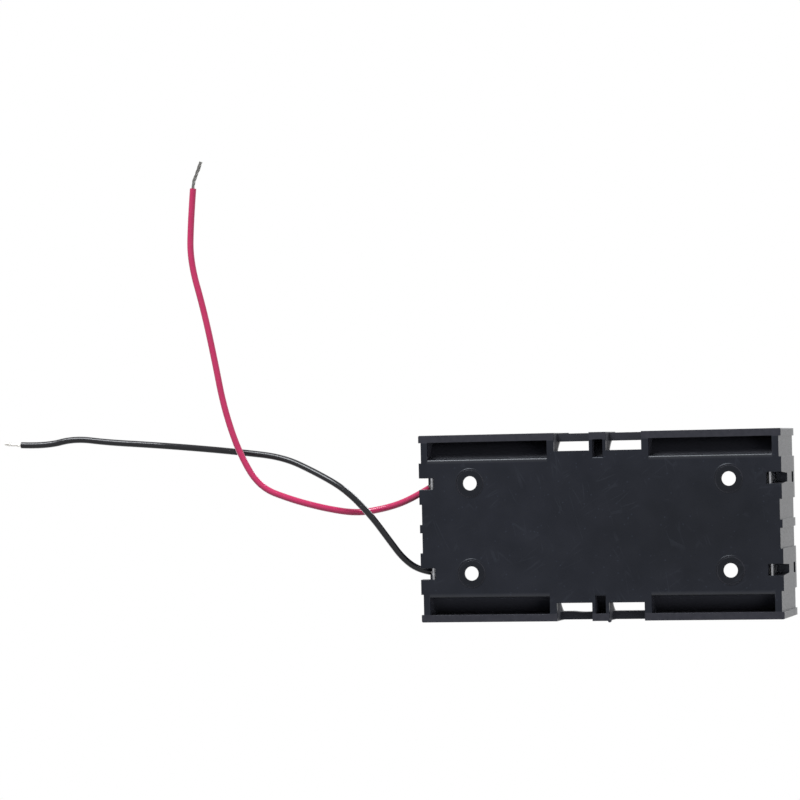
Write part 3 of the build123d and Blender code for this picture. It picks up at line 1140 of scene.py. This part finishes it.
@dataclass(frozen=True)
class Lamp:
    """One soft square lamp that faces the holder; mirrored lets reflections show it."""

    name: str
    place: Point
    watts: float
    size: float
    mirrored: bool = True
    target: Point = (-0.03, -0.02, 0.01)
    tint: Colour = (0.94, 0.97, 1.0)

    def build(self) -> None:
        """Make the lamp."""
        data = bpy.data.lights.new(self.name, "AREA")
        data.energy = self.watts
        data.color = self.tint
        data.size = self.size
        lamp = link(bpy.data.objects.new(self.name, data))
        lamp.location = self.place
        lamp.rotation_mode = "QUATERNION"
        aim = Vector(self.target) - Vector(self.place)
        lamp.rotation_quaternion = aim.to_track_quat("-Z", "Y")
        lamp.visible_camera = False
        lamp.visible_glossy = self.mirrored


@dataclass
class Studio:
    """The plain studio: a pale floor seen from above only, soft lamps and a white backdrop."""

    floor_half: float = 3.0
    floor_drop: float = 0.25 * MM
    floor_colour: Colour = (0.9, 0.87, 0.82)
    floor_roughness: float = 0.9
    floor_specular: float = 0.1
    ambient: float = 0.31
    cool: Colour = (0.86, 0.91, 1.0)
    lamps: tuple[Lamp, ...] = (
        Lamp("upper_key", (0.35, -0.7, 0.9), 9.0, 0.45),
        Lamp("upper_fill", (-0.8, 0.5, 0.8), 4.5, 0.9),
        Lamp("lower_key", (-0.35, -0.85, -0.45), 13.5, 0.5),
        Lamp("lower_fill", (0.7, 0.1, -0.5), 3.6, 0.5, mirrored=False),
    )

    def make_floor(self) -> None:
        """A pale floor, solid for camera rays from above and clear for all others."""
        made = bmesh.new()
        h = self.floor_half
        corners = ((-h, -h), (h, -h), (h, h), (-h, h))
        made.faces.new([made.verts.new((x, y, -self.floor_drop)) for x, y in corners])
        tree = FinishTree("pale_floor")
        tree.set(
            Base_Color=rgba(self.floor_colour),
            Roughness=self.floor_roughness,
            Specular_IOR_Level=self.floor_specular,
        )
        seen = tree.add("ShaderNodeLightPath").outputs["Is Camera Ray"]
        under = tree.add("ShaderNodeNewGeometry").outputs["Backfacing"]
        opaque = tree.product(seen, tree.maths("SUBTRACT", 1.0, under))
        clear = tree.add("ShaderNodeBsdfTransparent").outputs[0]
        shares = {0: opaque, 1: clear, 2: tree.shader.outputs[0]}
        mixed = tree.add("ShaderNodeMixShader", shares).outputs[0]
        tree.put(tree.tree.nodes["Material Output"], "Surface", mixed)
        mesh = bpy.data.meshes.new("studio_floor")
        made.to_mesh(mesh)
        made.free()
        mesh.materials.append(tree.material)
        link(bpy.data.objects.new("studio_floor", mesh))

    def make_world(self) -> None:
        """White where the camera, a reflection or glass looks past everything, dimmer as light."""
        world = bpy.data.worlds.new("studio_world")
        world.use_nodes = True
        bpy.context.scene.world = world
        tree = NodeTree(world.node_tree)
        path = tree.add("ShaderNodeLightPath").outputs
        shown = tree.maths("MAXIMUM", path["Is Camera Ray"], path["Is Glossy Ray"])
        shown = tree.maths("MAXIMUM", shown, path["Is Transmission Ray"])
        background = world.node_tree.nodes["Background"]
        tree.put(background, "Color", tree.mix_colour(shown, rgba(self.cool), rgba(WHITE)))
        tree.put(background, "Strength", tree.span(shown, 0.0, 1.0, self.ambient, 1.0))

    def build(self) -> None:
        """Make the floor, world and lamps, and set the plain view transform."""
        self.make_floor()
        self.make_world()
        for lamp in self.lamps:
            lamp.build()
        bpy.context.scene.view_settings.view_transform = "Standard"


# Route points of each lead, in millimetres from the foot of its own notch, as in the model.
RED_ROUTE: list[Point] = [
    (1.3, 0.85, 4.2), (-1.0, 2.15, 4.2), (-5.0, 4.0, 4.6), (-9.5, 5.2, 5.1),
    (-15.0, 6.0, 5.1), (-21.1, 4.9, 2.6), (-28.3, 2.8, 0.7), (-35.5, 0.0, 0.7),
    (-39.9, -7.7, 0.7), (-43.0, -17.3, 0.7), (-44.8, -27.3, 0.7), (-47.0, -38.1, 0.7),
    (-49.9, -48.9, 0.7), (-49.6, -57.1, 0.7), (-48.9, -64.5, 0.7),
]
BLACK_ROUTE: list[Point] = [
    (1.3, -0.3, 4.2), (-1.4, -0.75, 4.1), (-4.5, -3.2, 2.9), (-7.1, -7.3, 1.2),
    (-10.7, -12.4, 0.7), (-16.2, -18.1, 0.7), (-23.3, -21.9, 2.6), (-31.2, -25.3, 5.1),
    (-41.0, -26.6, 5.1), (-50.5, -27.7, 2.6), (-60.1, -28.6, 0.7), (-69.5, -29.3, 0.7),
    (-77.0, -30.3, 0.7), (-83.5, -28.8, 0.7), (-89.2, -29.1, 0.7),
]
RED_BEND: list[Point] = [(-47.7, -68.4, 0.7), (-47.0, -70.2, 0.7)]
BLACK_BEND: list[Point] = [(-93.0, -29.5, 0.7)]


@dataclass
class CellHolder:
    """The whole holder: dressed CAD pieces, springs, marks and leads."""

    finishes: Finishes = field(default_factory=Finishes)

    def leads(self) -> list[Lead]:
        """The two leads, with their routes and lengths.

        Returns:
            The red and the black lead.
        """
        f = self.finishes
        red_length, black_length = 105.9 * MM, 101.9 * MM
        red_look = (f.red, f.dull_strands, StrandEnd.NEAT)
        black_look = (f.black, f.bright_strands, StrandEnd.FRAYED)
        return [
            Lead(Side.RED, RED_ROUTE, RED_BEND, red_length, *red_look),
            Lead(Side.BLACK, BLACK_ROUTE, BLACK_BEND, black_length, *black_look),
        ]

    def dress(self) -> None:
        """Give the CAD nodes that stay their finishes."""
        f = self.finishes
        dress_node("tray", f.plastic)
        for node in ("positive_contact", "negative_contact", "series_link"):
            dress_node(node, f.plate)
        for node in ("red_solder_joint", "black_solder_joint"):
            dress_node(node, f.solder)

    def build(self) -> None:
        """Make every piece of the holder."""
        for lead in self.leads():
            lead.build()
        for side in Side:
            ConicalSpring(side, self.finishes.wire).build()
        self.dress()
        BayFloorMarks(self.finishes.plastic).build()


def main() -> None:
    """Build the view, the studio and the holder."""
    logging.basicConfig(level=logging.INFO, format="%(name)s: %(message)s")
    Viewpoint().build()
    CellHolder().build()
    Studio().build()


if __name__ == "__main__":
    main()
